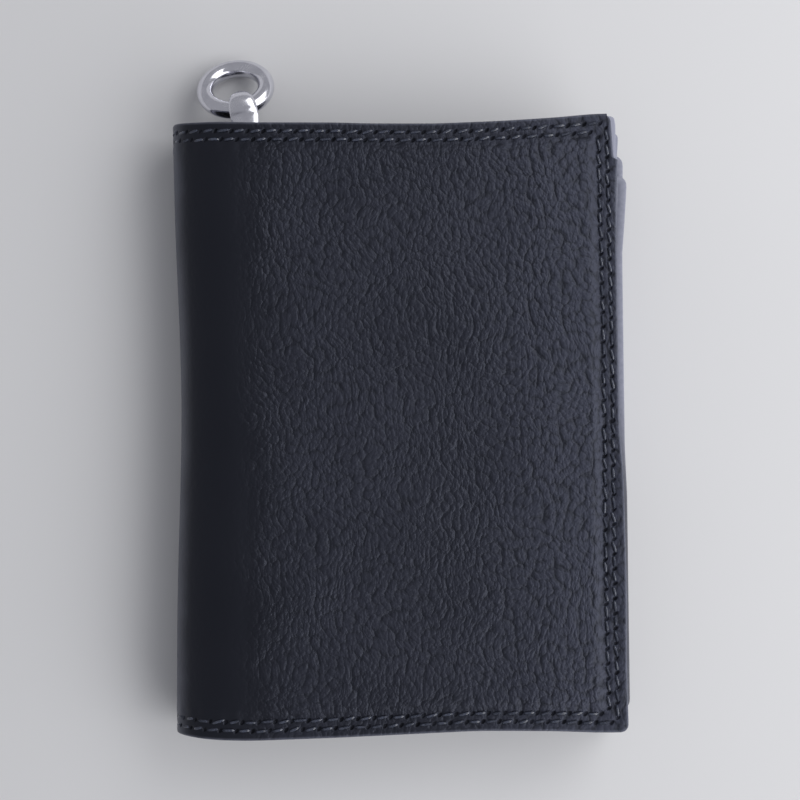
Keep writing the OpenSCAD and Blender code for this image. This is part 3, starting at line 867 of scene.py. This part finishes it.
def sew(name, spots):
    """Copies the pod to every spot, in the hide's own directions there: one along the seam, two across it and up
    off the leather. Place, slant and length vary a little, and round the spine the thread lies deeper."""
    way, y, along_way, along_y = spots.T
    count = len(way)
    here = seam_surface(way, y)
    one = unit(seam_surface(way + PROBE * along_way, y + PROBE * along_y) - here)
    two = seam_surface(way - PROBE * along_y, y + PROBE * along_way) - here
    up = unit(np.cross(one, two))
    up *= np.sign(np.einsum("ij,ij->i", up, here - hide_place(way, y, 2.0)))[:, None]
    two = np.cross(up, one)
    here = here + two * rng.normal(0, 0.06, count)[:, None]
    here = here - up * (0.26 * (1 - spine_share(way)) + rng.uniform(-0.03, 0.05, count))[:, None]
    slant = 0.2 + rng.normal(0, 0.085, count)
    lead = one * np.cos(slant)[:, None] + two * np.sin(slant)[:, None]
    across = np.cross(up, lead)
    points, drop, quads, triangles, strand = POD
    length = STITCH_HALF_LENGTH + rng.normal(0, 0.1, count)
    x, y, z = points.T[:, None, :, None]
    height = z * STITCH_HALF_HEIGHT + STITCH_LIFT - STITCH_DROP * drop[None, :, None]
    shape = here[:, None] + lead[:, None] * (x * length[:, None, None])
    shape = shape + across[:, None] * (y * STITCH_HALF_WIDTH) + up[:, None] * height
    first = (np.arange(count) * len(points))[:, None, None]
    faces = [(quads[None] + first).reshape(-1, 4), (triangles[None] + first).reshape(-1, 3)]
    return make_piece(name, shape.reshape(-1, 3), faces, waxed_thread, {"strand": np.tile(strand, (count, 1))})


POD = stitch_pod()
rng = np.random.default_rng(7)
all_spots = np.concatenate([row_spots(row, shift) for row, shift in ROWS])
strip_of_spot = np.searchsorted(SPINE_CUTS, all_spots[:, 0])
for side, number in (("front", 0), ("back", len(SPINE_CUTS))):
    declare(sew(f"{side}_stitches", all_spots[strip_of_spot == number]), side, f"{side}_thread")
for n in range(4):
    row = sew(f"spine_stitches_{n + 1}", all_spots[strip_of_spot == n + 1])
    over_fold(row, n, "spine_thread")
print("stitches", len(all_spots))

# %% [markdown]
# ## Linings
# The lining is glued to the inside of the hide and goes round the spine with it, so it is made by the same
# function, deeper down and 0.3 mm short of the edges. Its edge shows as the first pale line at the opening.


# %% Lining pieces
LINING_TOP, LINING_LOW = 1.81, 2.59
SHORT, LINING_EASE = 0.3, 1.7
RIM_ROUND = 0.12


def lining_piece(name, *ways, stand_out=None):
    """A layer under the leather, 0.3 mm short of its edges, with a rounded rim. stand_out is how far its opening
    edge stands out, by y."""
    near = np.concatenate([[0.3, 0.32, 0.5, 1.0], np.arange(2.5, HALF_H - 1, 2.5)])
    way, dy = np.meshgrid(np.concatenate(ways), np.concatenate([near, [HALF_H], near[::-1]]))
    sign = np.repeat([1.0, -1.0], [len(near) + 1, len(near)])[:, None]
    dx = np.minimum(way, WHOLE_WAY - way)
    d = np.minimum(dx, dy)
    dx2, dy2 = ease_corner(dx - SHORT, dy - SHORT, LINING_EASE)
    y = sign * (HALF_H - dy2 - SHORT)
    way = np.where(way < SPINE_MIDDLE, dx2 + SHORT, WHOLE_WAY - dx2 - SHORT)
    if stand_out:
        way = way - stand_out(y) * np.exp(-dx / 6.0)
    rim = RIM_ROUND * (d < SHORT + 0.01)
    outer, inner = hide_place(way, y, LINING_TOP + rim), hide_place(way, y, LINING_LOW - rim)
    return shell_piece(name, outer, inner, lining_cloth, edge=1 - step_up(d, SHORT, 2.4))


def front_lining_stand_out(y):
    return 1.15 * step_up(y, 40, 70) + 0.3 * step_up(y, -10, 30)


opening = np.array([0.3, 0.32, 0.5, 1.0, 2.5])
front_columns = opening, steps_between(5, FRONT_WAY, 2.5)
back_columns = steps_between(BACK_WAY, WHOLE_WAY - 5, 2.5), WHOLE_WAY - opening[::-1]
front_lining = lining_piece("front_lining_cloth", *front_columns, stand_out=front_lining_stand_out)
back_lining = lining_piece("back_lining_cloth", *back_columns)
declare(front_lining, "front", "front_lining")
declare(back_lining, "back", "back_lining")
for n in range(4):
    strip = lining_piece(f"spine_lining_strip_{n + 1}", steps_between(SPINE_CUTS[n], SPINE_CUTS[n + 1], 0.8))
    over_fold(strip, n, "spine_lining")
print("linings", 6)

# %% [markdown]
# ## Panels, pockets and the swing leaf
# These are flat pieces of thin leather. Each is an outline that is filled by rings: a rounded cut edge,
# a creased line near the edge as a hot tool leaves it, then rings that shrink to the middle. The outlines
# differ a little at the opening edge, as they do on the photographed wallet, and so its steps show.


# %% Outlines and pads
def eased_outline(corners, ease, size=1.2, inset=0.0):
    """A closed outline through the corners, anticlockwise, with every side moved in by the inset: straight runs,
    and a parabola over each corner. Its number of points doesn't depend on the inset."""
    corners = np.asarray(corners, float)
    along = np.roll(corners, -1, axis=0) - corners
    side = np.linalg.norm(along, axis=1)
    inner = to_left(along) / side[:, None]
    before = np.roll(inner, 1, axis=0)
    moved = corners + inset * (inner + before) / (1 + np.sum(inner * before, axis=1, keepdims=True))
    bend = before[:, 0] * inner[:, 1] - before[:, 1] * inner[:, 0]
    eased = np.maximum(np.asarray(ease) - inset * np.sign(bend), 0.15)
    runs = []
    back, ahead = unit(np.roll(moved, 1, axis=0) - moved), unit(np.roll(moved, -1, axis=0) - moved)
    t = np.linspace(0, 1, 7)[:, None]
    for k, here in enumerate(moved):
        follow = (k + 1) % len(corners)
        start, end = here + back[k] * eased[k], here + ahead[k] * eased[k]
        runs.append((1 - t) ** 2 * start + 2 * t * (1 - t) * here + t**2 * end)
        goal = moved[follow] - ahead[k] * eased[follow]
        count = max(2, int((side[k] - ease[k] - ease[follow]) / size))
        runs.append(end + (goal - end) * np.linspace(0, 1, count)[1:-1, None])
    return np.concatenate(runs)


# Inset and depth of the line that a hot tool presses near the edge, and how far the edge paint fades out
CREASE = [(1.0, 0.0), (1.55, 0.05), (1.75, 0.16), (1.95, 0.05), (2.5, 0.0), (3.1, 0.0)]
PAINT_FADE = 0.7


def pad(outline_at, low, high, middle, paint_reach=1.7, flip=False):
    """Rings from under the edge, round it and over the crease to the middle: points, faces and edge paint,
    which ends at paint_reach from the edge. outline_at gives the outline for an inset, so no ring crosses
    itself at a corner. flip turns the faces over, for a piece whose placing mirrors it."""
    soft = min(0.3, (high - low) * 0.35)
    below = [(soft, low), (0.25 * soft, low + 0.3 * soft), (0.0, low + soft)]
    above = [(0.0, high - soft), (0.25 * soft, high - 0.3 * soft), (soft, high)]
    crease = [(inset, high - depth) for inset, depth in CREASE]
    inset, height = np.array(below + above + crease).T
    rings = [np.insert(outline_at(i), 2, h, axis=1) for i, h in zip(inset, height)]
    last = rings[-1][:, :2]
    for share in (0.9, 0.75, 0.5, 0.25):
        rings.append(np.insert(middle + (last - middle) * share, 2, high, axis=1))
    around, count = len(last), len(rings)
    points = np.concatenate([*rings, [[*middle, high], [*middle, low]]])
    loop, tip = np.arange(around), around * count
    caps = np.concatenate([fan(tip - around + loop, tip), fan(loop[::-1], tip + 1)])
    faces = [grid_cells(count, around, round_columns=True), caps]
    paint = np.zeros(len(points))
    paint[: around * len(inset)] = np.repeat(1 - step_up(inset, paint_reach - PAINT_FADE, paint_reach), around)
    return points, [part[:, ::-1] for part in faces] if flip else faces, paint


def on_back(points):
    return settled(*points.T)


def on_front(points):
    """The back's layers turned over: a half turn of the wallet about the leaning fold line."""
    x, y, z = points.T
    x = x - FOLD_X
    sin, cos = math.sin(2 * SKEW), math.cos(2 * SKEW)
    return settled(FOLD_X + cos * x - sin * y, sin * x + cos * y, WALLET_T - z)


def leather_sheet(name, outline_at, low, high, middle, place, flip=False):
    """A pad of thin leather in its place."""
    points, faces, paint = pad(outline_at, low, high, np.array(middle), flip=flip)
    return make_piece(name, place(points), faces, inner_leather, edge=paint)


def box(left, right, foot, top):
    """The corners of a box, anticlockwise."""
    return [(left, foot), (right, foot), (right, top), (left, top)]


def sheet_outline(corners, ease, stand_out=np.zeros_like):
    """The outline as a function of its inset. Its opening edge, the rightmost, stands out by a function of y,
    which fades over 12 mm."""
    right = max(x for x, _ in corners)

    def outline_at(inset):
        outline = eased_outline(corners, ease, inset=inset)
        share = np.clip((outline[:, 0] - (right - 12)) / 12, 0, 1) ** 2
        return outline + np.stack([share * stand_out(outline[:, 1]), 0 * share], axis=1)

    return outline_at


def front_panel_stand_out(y):
    return 2.4 * np.exp(-np.maximum(68.5 - y, 0) / 22)


PANEL_LEFT, POCKET_LEFT, SEWN_FOOT = -41.0, -40.8, -71.2
PANEL_TOP, POCKET_TOP, POCKET_STEP = 67.5, 47.0, 13.0
PANEL_LOW, PANEL_HIGH, POCKET_LOW, POCKET_T = 2.61, 3.59, 3.61, 0.97
SIDES = (("back", on_back, 52.2, np.zeros_like, False), ("front", on_front, 50.0, front_panel_stand_out, True))
for side, place, right, stand_out, flip in SIDES:
    outline = sheet_outline(box(PANEL_LEFT, right, SEWN_FOOT, PANEL_TOP), [CORNER_R] * 4, stand_out)
    panel = leather_sheet(f"{side}_panel_leather", outline, PANEL_LOW, PANEL_HIGH, (5, -5), place, flip)
    declare(panel, side, f"{side}_panel")
    for n in range(4):
        outline = sheet_outline(box(POCKET_LEFT, right, SEWN_FOOT, POCKET_TOP - n * POCKET_STEP), [CORNER_R] * 4)
        low = POCKET_LOW + n
        pocket = leather_sheet(f"{side}_pocket_leather_{n + 1}", outline, low, low + POCKET_T, (5, -35), place, flip)
        declare(pocket, side, f"{side}_pocket_{n + 1}")
print("panels", 2, "pockets", 8)

# %% [markdown]
# ## Swing leaf
# The leaf turns between the covers on its own rolled edge, which lies on the hinge strip. A notch beside
# its fold leaves room for the ring tab. Its rolled edge is round, so the two faces share a half round
# there, and the pocket on each face is a pad as the others are.

# %% Swing leaf
LEAF_FOLD, LEAF_EDGE, LEAF_TOP, LEAF_FOOT = -42.5, 52.8, 64.8, -66.3
NOTCH_X, NOTCH_Y, MID_Z = -27.45, 47.0, 10.5


def leaf_stand_out(y):
    """How far the leaf's opening edge stands out: most at its top corner, and again below the middle."""
    return 0.4 + 0.6 * hump(y, 64, 12) + 0.4 * step_up(-y, 3, 18)


def leaf_pocket_stand_out(y):
    return leaf_stand_out(y) + 0.8 * np.clip(1 - ((59.4 - y) / 18) ** 2, 0, 1)


def leaf_piece(name, direction, outline_at, low, high, paint_reach, rolled):
    """A pad on one side of the leaf, with heights from the leaf's middle outwards. Where it is rolled, it ends
    at the fold in half of a round edge, which has no paint."""
    points, faces, paint = pad(outline_at, low, high, LEAF_MIDDLE, paint_reach, flip=direction < 0)
    x, y, z = points.T
    if rolled:
        share = np.clip(LEAF_FOLD + 1.0 - x, 0, 1)
        x = x - share * np.sqrt(np.clip(1 - z**2, 0, 1)) * 0.95
        paint = paint * step_up(x, LEAF_FOLD + 0.5, LEAF_FOLD + 3.0)
    return make_piece(name, settled(x, y, z * direction + MID_Z), faces, inner_leather, edge=paint)


LEAF_MIDDLE = np.array([12.0, -4.0])
LEAF_CORNERS = [
    (LEAF_FOLD, LEAF_FOOT), (LEAF_EDGE, LEAF_FOOT), (LEAF_EDGE, LEAF_TOP),
    (NOTCH_X, LEAF_TOP), (NOTCH_X, NOTCH_Y), (LEAF_FOLD, NOTCH_Y),
]
pocket_corners = box(LEAF_FOLD + 18, LEAF_EDGE, LEAF_FOOT, LEAF_TOP - 5.0)
leaf_outline = sheet_outline(LEAF_CORNERS, [0.3, 2.6, 2.6, 1.4, 1.2, 0.3], leaf_stand_out)
pocket_outline = sheet_outline(pocket_corners, [2.6] * 4, leaf_pocket_stand_out)
LEAF_PARTS = {"face": (leaf_outline, 0.01, 0.99, 2.6, True), "pocket": (pocket_outline, 1.01, 1.78, 2.9, False)}
for direction, word in ((1, "front"), (-1, "back")):
    for part, shape in LEAF_PARTS.items():
        piece = leaf_piece(f"leaf_{word}_{part}_leather", direction, *shape)
        declare(piece, "swing_leaf", f"leaf_{word}_{part}")
print("leaf pieces", 4)

# %% [markdown]
# ## Ring tab and eyelet
# A thick leather tab stands between the covers at the top of the spine and holds a rolled eyelet. The
# eyelet is a turned part: a barrel, a rounded flange above the leather and a washer under it.


# %% Tab, eyelet and washer
TAB_X, TAB_HALF, TAB_FOOT, TAB_TOP = -34.7, 5.65, 48.6, 69.1
TAB_LOW, TAB_HIGH = 9.0, 12.0
EYELET_Y = 63.8
TAB_HOLE = 3.7
THIN_PAINT = 0.6


def tab_rings(outline, low, high, hole, hole_r):
    """A leather block with a round hole: rings from the hole's wall over the face, round the edge and back, with
    the paint of each."""
    away = outline - hole
    angle = np.arctan2(away[:, 1], away[:, 0])
    rim = hole + hole_r * np.stack([np.cos(angle), np.sin(angle)], axis=1)
    by_rim = rim + (outline - rim) * 0.05
    along = np.roll(outline, -1, axis=0) - np.roll(outline, 1, axis=0)
    inner = to_left(unit(along))
    soft = 0.35
    edge = [
        (1.6, high, 0), (1.35, high - 0.14, 0), (1.1, high, 0),
        (soft, high, 0.9), (0.1, high - 0.1, 1), (0.0, high - soft, 1),
        (0.0, low + soft, 1), (0.1, low + 0.1, 1), (soft, low, 0.9),
    ]
    rings = [(rim, high - 0.02, 0), (by_rim, high, 0)]
    rings += [(outline + inner * inset, height, paint) for inset, height, paint in edge]
    rings += [(by_rim, low, 0), (rim, low + 0.02, 0)]
    paint = np.repeat([paint for _, _, paint in rings], len(outline))
    return np.stack([np.insert(flat, 2, height, axis=1) for flat, height, _ in rings]), paint


def turned_part(name, corners, ease, around=72):
    """Turns a section, given by its corners as radius and height, about the eyelet's upright axis."""
    r, z = eased_outline(corners, ease, size=0.4).T
    a = full_turn(around)[:, None]
    rings = np.broadcast_arrays(TAB_X + np.cos(a) * r, EYELET_Y + np.sin(a) * r, MID_Z + z)
    return closed_tube(name, np.stack(rings, axis=-1), polished_steel)


left, right = TAB_X - TAB_HALF, TAB_X + TAB_HALF
tab_outline = eased_outline(box(left, right, TAB_FOOT, TAB_TOP), [CORNER_R, CORNER_R, 3.4, 3.4], 0.7)
rings, paint = tab_rings(tab_outline, TAB_LOW, TAB_HIGH, np.array([TAB_X, EYELET_Y]), TAB_HOLE)
tab = closed_tube("ring_tab_leather", rings, inner_leather, edge=paint * THIN_PAINT)
base_outline = sheet_outline(box(left, right, TAB_FOOT, 58.3), [CORNER_R] * 4)
base = leather_sheet("tab_base_leather", base_outline, 3.6, TAB_LOW, (TAB_X, 53.4), lambda points: points)
corners = [(3.3, -1.9), (3.7, -1.9), (3.7, 1.5), (5.2, 1.5), (5.2, 1.9), (3.3, 1.9)]
eyelet = turned_part("rolled_eyelet", corners, [0.12, 0.12, 0.05, 0.15, 0.18, 0.3])
washer = turned_part("eyelet_washer", box(3.72, 5.2, -1.9, -1.5), [0.08, 0.15, 0.1, 0.05])
declare(tab, "back", "ring_tab")
declare(base, "back", "tab_base")
declare(eyelet, "back", "tab_eyelet")
declare(washer, "back", "tab_washer")
print("tab, base, eyelet and washer")

# %% [markdown]
# ## Bail and ring
# The bail is a flat link that goes through the eyelet and carries the ring. Its section is a lens, rounded
# on the outside, and it narrows towards the outer turn, so from above it ends in a dome. The ring is round
# wire, closed, and leans on the table. Both are sections carried along a path.

# %% Bail and ring
TURN = math.radians(12)
BAIL_R, BAIL_REACH = 4.4, 7.5
OUTER_TURN = 2.98
BAIL_SHIFT = 0.62
PIN_Y = BAIL_R + BAIL_REACH


def at_eyelet(across, up_way, height):
    """The hardware's own frame: turned 12 degrees towards the spine about the eyelet's centre."""
    x = TAB_X + math.cos(TURN) * across - math.sin(TURN) * up_way
    y = EYELET_Y + math.sin(TURN) * across + math.cos(TURN) * up_way
    return np.stack([x, y, MID_Z + height], axis=-1)


def bail_rings(along=160, around=36):
    """A stadium path, its outer turn pressed to an ellipse, with a lens section that narrows at that turn. The
    path s begins at the foot of the inner turn and goes up round it: inner turn, upper run, outer turn, lower run."""
    turn = np.pi * BAIL_R
    s = np.linspace(0, 2 * (BAIL_REACH + turn), along, endpoint=False)
    runs = [s < turn, s < turn + BAIL_REACH, s < 2 * turn + BAIL_REACH, s >= 2 * turn + BAIL_REACH]
    a = -np.pi / 2 - s / BAIL_R
    b = np.pi / 2 - (s - turn - BAIL_REACH) / BAIL_R
    slope_y, slope_z = unit(np.stack([np.cos(b) / OUTER_TURN, np.sin(b) / BAIL_R], axis=1)).T
    upper, lower = BAIL_R + s - turn, PIN_Y - (s - 2 * turn - BAIL_REACH)
    y = np.select(runs, [BAIL_R * np.cos(a) + BAIL_R, upper, OUTER_TURN * np.cos(b) + PIN_Y, lower])[:, None]
    z = np.select(runs, [BAIL_R * np.sin(a), BAIL_R, BAIL_R * np.sin(b), -BAIL_R])[:, None]
    normal_y = np.select(runs, [np.cos(a), 0, slope_y, 0])[:, None]
    normal_z = np.select(runs, [np.sin(a), 1, slope_z, -1])[:, None]
    width = np.interp(y, [0, 1.8, 8.7, 20], [2.1, 2.1, 3.3, 3.3])
    width = width * np.sqrt(np.clip(1 - (np.clip(y - 10.6, 0, None) / 5.1) ** 2, 0.05, None))
    swell = 0.86 + 0.7 * step_up(y, 8.8, 11.0) * (1 - 0.75 * step_up(y, PIN_Y + 0.6, PIN_Y + 2.6))
    c = full_turn(around)
    section_x, section_z = (np.sign(wave) * np.abs(wave) ** 0.94 for wave in (np.cos(c), np.sin(c)))
    out = section_z * np.where(section_z > 0, swell, 0.78)
    return at_eyelet(width * section_x + BAIL_SHIFT, y + normal_y * out, z + normal_z * out)


WIRE_R, RING_R, RING_TILT = 2.0, 7.3, math.radians(35.36)


def ring_rings(along=180, around=56):
    """Round wire on a circle that leans about the pin: a torus, slightly flattened on its inside by wear."""
    a = full_turn(along)[:, None]
    c = full_turn(around)
    wire = WIRE_R * (1 - 0.02 * np.clip(-np.cos(c), 0, 1) ** 4)
    radius = RING_R + wire * np.cos(c)
    x, y, z = radius * np.sin(a), RING_R - radius * np.cos(a), wire * np.sin(c)
    sin, cos = math.sin(RING_TILT), math.cos(RING_TILT)
    return at_eyelet(x, PIN_Y + cos * y + sin * z, -sin * y + cos * z)


rings = ring_rings()
declare(closed_tube("domed_bail", bail_rings(), bail_steel), "bail", "bail")
declare(closed_tube("wire_ring", rings, polished_steel), "ring", "ring")
print("ring spans", np.ptp(rings, axis=(0, 1)).round(1), "mm")

# %% [markdown]
# ## Solids that stay
# The stiffener boards and the hinge strip have the right shape already. They keep their solids and get a
# finish of their own.

# %% Finishes for the solids that stay
for name, material in (("back_stiffener", board), ("front_stiffener", board), ("leaf_hinge_strip", inner_leather)):
    solid = node_objects[name]
    solid.data.materials.clear()
    solid.data.materials.append(material)
print("solids that stay", 3)

# %% [markdown]
# ## Floor and light
# The floor is plain and pale. A broad lamp stands to the right, where the photographed leather and ring
# catch their highlights, and a small weak one stands nearer, past the wallet's top right corner. The broad
# lamp stands upright and well away, because one that leans over the floor burns it out to white below. The
# world fills the rest evenly.


# %% Floor, world and lamps
FLOOR_DARK, FLOOR_LIGHT = (0.67, 0.67, 0.68, 1), (0.71, 0.71, 0.72, 1)
FLOOR_HALF, FLOOR_Z = 1500.0, -0.06
WORLD_TINT, WORLD_STRENGTH = (0.93, 0.94, 1.0, 1), 0.38


def floor_finish():
    """A pale sheet, hardly mottled."""
    f = Finish("pale_floor", Roughness=0.7, Specular_IOR_Level=0.2)
    spot = f.place(scale=(1, 1, 1))
    f.set("Base Color", f.mix(f.noise(spot, 6.0, 3.0), FLOOR_DARK, FLOOR_LIGHT))
    return f.material


corners = FLOOR_HALF * np.array([[-1, -1], [1, -1], [1, 1], [-1, 1]])
floor_points = np.insert(corners, 2, FLOOR_Z, axis=1)
floor = make_piece("studio_floor", floor_points, np.array([[0, 1, 2, 3]]), floor_finish(), flat_tail=1)
floor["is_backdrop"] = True

world = bpy.data.worlds.new("studio_world")
world.use_nodes = True
sky = world.node_tree.nodes["Background"].inputs
sky["Color"].default_value = WORLD_TINT
sky["Strength"].default_value = WORLD_STRENGTH
bpy.context.scene.world = world
bpy.context.scene.view_settings.view_transform = "Standard"


def lamp(name, place, aim, width, height, watts):
    """An area lamp at a place, in metres, that faces the point aim and isn't itself seen."""
    data = bpy.data.lights.new(name, "AREA")
    data.shape = "RECTANGLE"
    data.size, data.size_y = width, height
    data.energy = watts
    light = bpy.data.objects.new(name, data)
    light.visible_camera = False
    bpy.context.scene.collection.objects.link(light)
    facing = (Vector(place) - Vector(aim)).to_track_quat("Z", "Y")
    light.matrix_world = Matrix.Translation(place) @ facing.to_matrix().to_4x4()


lamp("broad_lamp", (0.509, -0.256, 0.472), aim=(0, 0, 0.41), width=1.03, height=0.74, watts=5.52)
lamp("fill_lamp", (0.30, 0.30, 0.38), aim=(0, 0, 0), width=0.4, height=0.4, watts=1.1)
print("lamps", 2)

# %% Write the sizes and finish
visual_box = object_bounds()
for name, box in (("cad", cad_box), ("visual", visual_box)):
    print(name, [[round(float(v), 4) for v in corner] for corner in box])
